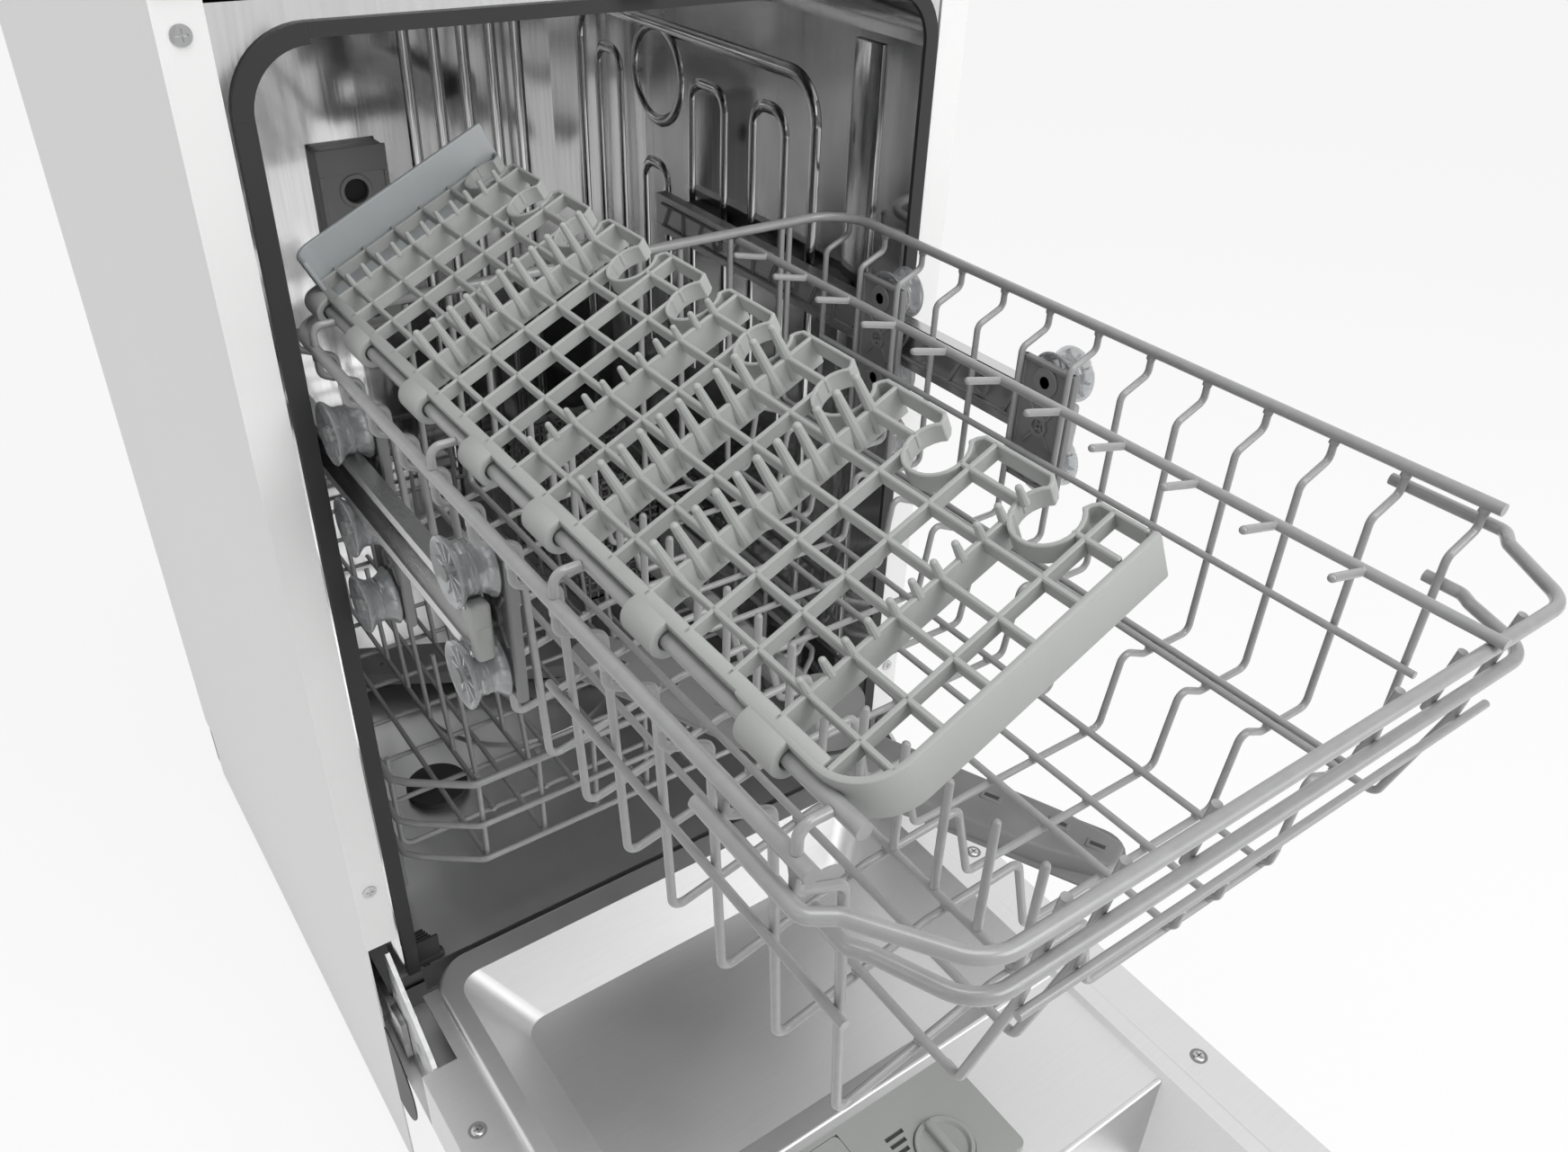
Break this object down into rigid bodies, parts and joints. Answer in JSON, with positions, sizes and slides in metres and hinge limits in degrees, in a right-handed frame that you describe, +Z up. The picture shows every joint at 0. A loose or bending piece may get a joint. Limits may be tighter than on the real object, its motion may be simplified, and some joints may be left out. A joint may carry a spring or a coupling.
{
  "type": "slim freestanding dishwasher",
  "caption": "Slim freestanding dishwasher with drop-down door, roll-out wire upper basket on rails, fold-up cup rack, spray arms and lower basket.",
  "frame": {"origin": "on the floor under the middle of the cabinet", "axes": "+Z up, +Y from the door to the back, +X to the right as seen from the front"},
  "size_m": [0.448, 1.222, 0.85],
  "materials": {
    "painted_white": "satin painted sheet",
    "worktop_white": "satin",
    "steel_mirror": "polished stainless",
    "steel": "brushed stainless",
    "zinc_steel": "zinc plated",
    "black_rubber": "matt rubber",
    "dark_plastic": "matt",
    "grey_plastic": "matt",
    "light_grey_plastic": "matt",
    "coated_wire": "satin nylon coat",
    "white_plastic": "satin"
  },
  "bodies": {
    "cabinet": {"left_side_panel": "painted_white", "right_side_panel": "painted_white", "rear_panel": "zinc_steel", "worktop": "worktop_white", "kick_plate": "painted_white", "hinge_guards": "dark_plastic", "base_pan": "dark_plastic", "levelling_feet": "dark_plastic", "tub": "steel_mirror", "door_gasket": "black_rubber", "lower_seals": "black_rubber", "panel_screws": "zinc_steel", "docking_block": "grey_plastic", "rail_guides": "light_grey_plastic", "sump": "dark_plastic", "filter_plate": "grey_plastic", "circulation_pump": "dark_plastic", "drain_pump": "dark_plastic", "softener": "white_plastic", "heater_ring": "steel", "inlet_valve": "white_plastic", "drain_outlet": "dark_plastic", "door_springs": "zinc_steel", "hinge_brackets": "zinc_steel", "latch_striker": "zinc_steel"},
    "left_rail": {"left_rail": "steel", "left_rail_cap": "grey_plastic"},
    "right_rail": {"right_rail": "steel", "right_rail_cap": "dark_plastic"},
    "upper_basket": {"upper_basket": "coated_wire", "wheel_brackets": "light_grey_plastic", "feed_pipe": "grey_plastic"},
    "lower_basket": {"lower_basket": "coated_wire", "lower_wheel_holders": "light_grey_plastic", "cutlery_basket": "grey_plastic"},
    "door": {"outer_door_panel": "painted_white", "inner_door_panel": "steel", "dispenser_body": "light_grey_plastic", "hinge_arms": "zinc_steel", "control_panel": "white_plastic", "control_board": "dark_plastic", "door_latch": "dark_plastic", "door_screws": "zinc_steel"},
    "front_upper_wheels": {"front_upper_wheels": "light_grey_plastic"},
    "front_lower_wheels": {"front_lower_wheels": "light_grey_plastic"},
    "rear_upper_wheels": {"rear_upper_wheels": "light_grey_plastic"},
    "rear_lower_wheels": {"rear_lower_wheels": "light_grey_plastic"},
    "rear_spare_wheels": {"rear_spare_wheels": "light_grey_plastic"},
    "upper_spray_arm": {"upper_spray_arm": "grey_plastic"},
    "cup_rack": {"cup_rack": "grey_plastic"},
    "lower_front_wheels": {"lower_front_wheels": "light_grey_plastic"},
    "lower_rear_wheels": {"lower_rear_wheels": "light_grey_plastic"},
    "filter_cylinder": {"filter_cylinder": "light_grey_plastic"},
    "lower_spray_arm": {"lower_spray_arm": "grey_plastic"},
    "salt_cap": {"salt_cap": "light_grey_plastic"},
    "dispenser_lid": {"dispenser_lid": "light_grey_plastic"},
    "rinse_dial": {"rinse_dial": "light_grey_plastic"},
    "power_button": {"power_button": "grey_plastic"},
    "start_button": {"start_button": "grey_plastic"},
    "program_button": {"program_button": "grey_plastic"}
  },
  "joints": [
    {"name": "door_hinge", "type": "hinge", "parent": "cabinet", "child": "door", "pos_m": [0, -0.2895, 0.192], "axis": [-1, 0, 0], "range_deg": [0, 90]},
    {"name": "left_rail_slide", "type": "slide", "parent": "cabinet", "child": "left_rail", "axis": [0, 1, 0], "range_m": [0, 0.218]},
    {"name": "right_rail_slide", "type": "slide", "parent": "cabinet", "child": "right_rail", "axis": [0, 1, 0], "range_m": [0, 0.218]},
    {"name": "upper_basket_slide", "type": "slide", "parent": "cabinet", "child": "upper_basket", "axis": [0, 1, 0], "range_m": [0, 0.436]},
    {"name": "front_upper_wheels_roll", "type": "hinge", "parent": "upper_basket", "child": "front_upper_wheels", "pos_m": [0, -0.42775, 0.6309], "axis": [-1, 0, 0], "range_deg": [0, 1045]},
    {"name": "front_lower_wheels_roll", "type": "hinge", "parent": "upper_basket", "child": "front_lower_wheels", "pos_m": [0, -0.42775, 0.5761], "axis": [1, 0, 0], "range_deg": [0, 1045]},
    {"name": "rear_upper_wheels_roll", "type": "hinge", "parent": "upper_basket", "child": "rear_upper_wheels", "pos_m": [0, -0.28175, 0.6309], "axis": [-1, 0, 0], "range_deg": [0, 1045]},
    {"name": "rear_lower_wheels_roll", "type": "hinge", "parent": "upper_basket", "child": "rear_lower_wheels", "pos_m": [0, -0.28175, 0.5761], "axis": [1, 0, 0], "range_deg": [0, 1045]},
    {"name": "rear_spare_wheels_roll", "type": "hinge", "parent": "upper_basket", "child": "rear_spare_wheels", "pos_m": [0, -0.28175, 0.5271], "axis": [1, 0, 0], "continuous": true},
    {"name": "cup_rack_fold", "type": "hinge", "parent": "upper_basket", "child": "cup_rack", "pos_m": [-0.168, 0, 0.6797], "axis": [0, -1, 0], "range_deg": [0, 28]},
    {"name": "upper_spray_arm_spin", "type": "hinge", "parent": "upper_basket", "child": "upper_spray_arm", "pos_m": [0, -0.4553, 0.463], "axis": [0, 0, 1], "continuous": true},
    {"name": "lower_basket_slide", "type": "slide", "parent": "cabinet", "child": "lower_basket", "axis": [0, 1, 0], "range_m": [0, 0.03]},
    {"name": "lower_front_wheels_roll", "type": "hinge", "parent": "lower_basket", "child": "lower_front_wheels", "pos_m": [0, -0.18488, 0.2324], "axis": [-1, 0, 0], "range_deg": [0, 90]},
    {"name": "lower_rear_wheels_roll", "type": "hinge", "parent": "lower_basket", "child": "lower_rear_wheels", "pos_m": [0, 0.13287, 0.2324], "axis": [-1, 0, 0], "range_deg": [0, 90]},
    {"name": "lower_spray_arm_spin", "type": "hinge", "parent": "cabinet", "child": "lower_spray_arm", "pos_m": [0, -0.0053, 0.229], "axis": [0, 0, 1], "continuous": true},
    {"name": "filter_twist", "type": "hinge", "parent": "cabinet", "child": "filter_cylinder", "pos_m": [0.024, -0.0433, 0.212], "axis": [0, 0, 1], "range_deg": [0, 90]},
    {"name": "salt_cap_twist", "type": "hinge", "parent": "cabinet", "child": "salt_cap", "pos_m": [-0.112, -0.1093, 0.214], "axis": [0, 0, 1], "continuous": true},
    {"name": "dispenser_lid_flap", "type": "hinge", "parent": "door", "child": "dispenser_lid", "pos_m": [-0.0785, -0.5625, 0.2097], "axis": [0, -1, 0], "range_deg": [0, 90]},
    {"name": "rinse_dial_turn", "type": "hinge", "parent": "door", "child": "rinse_dial", "pos_m": [0.023, -0.572, 0.208], "axis": [0, 0, 1], "range_deg": [0, 90]},
    {"name": "power_button_press", "type": "slide", "parent": "door", "child": "power_button", "axis": [0, 0, 1], "range_m": [0, 0.002], "stiffness_N_per_m": 500},
    {"name": "start_button_press", "type": "slide", "parent": "door", "child": "start_button", "axis": [0, 0, 1], "range_m": [0, 0.002], "stiffness_N_per_m": 500},
    {"name": "program_button_press", "type": "slide", "parent": "door", "child": "program_button", "axis": [0, 0, 1], "range_m": [0, 0.002], "stiffness_N_per_m": 500}
  ],
  "couplings": [
    {"joint": "left_rail_slide", "follows": "door_hinge", "m_per_rad": 0.13878},
    {"joint": "right_rail_slide", "follows": "door_hinge", "m_per_rad": 0.13878},
    {"joint": "upper_basket_slide", "follows": "door_hinge", "m_per_rad": 0.27757},
    {"joint": "front_upper_wheels_roll", "follows": "door_hinge", "ratio": 11.565},
    {"joint": "front_lower_wheels_roll", "follows": "door_hinge", "ratio": 11.565},
    {"joint": "rear_upper_wheels_roll", "follows": "door_hinge", "ratio": 11.565},
    {"joint": "rear_lower_wheels_roll", "follows": "door_hinge", "ratio": 11.565},
    {"joint": "lower_front_wheels_roll", "follows": "lower_basket_slide", "rad_per_m": 50},
    {"joint": "lower_rear_wheels_roll", "follows": "lower_basket_slide", "rad_per_m": 50}
  ]
}
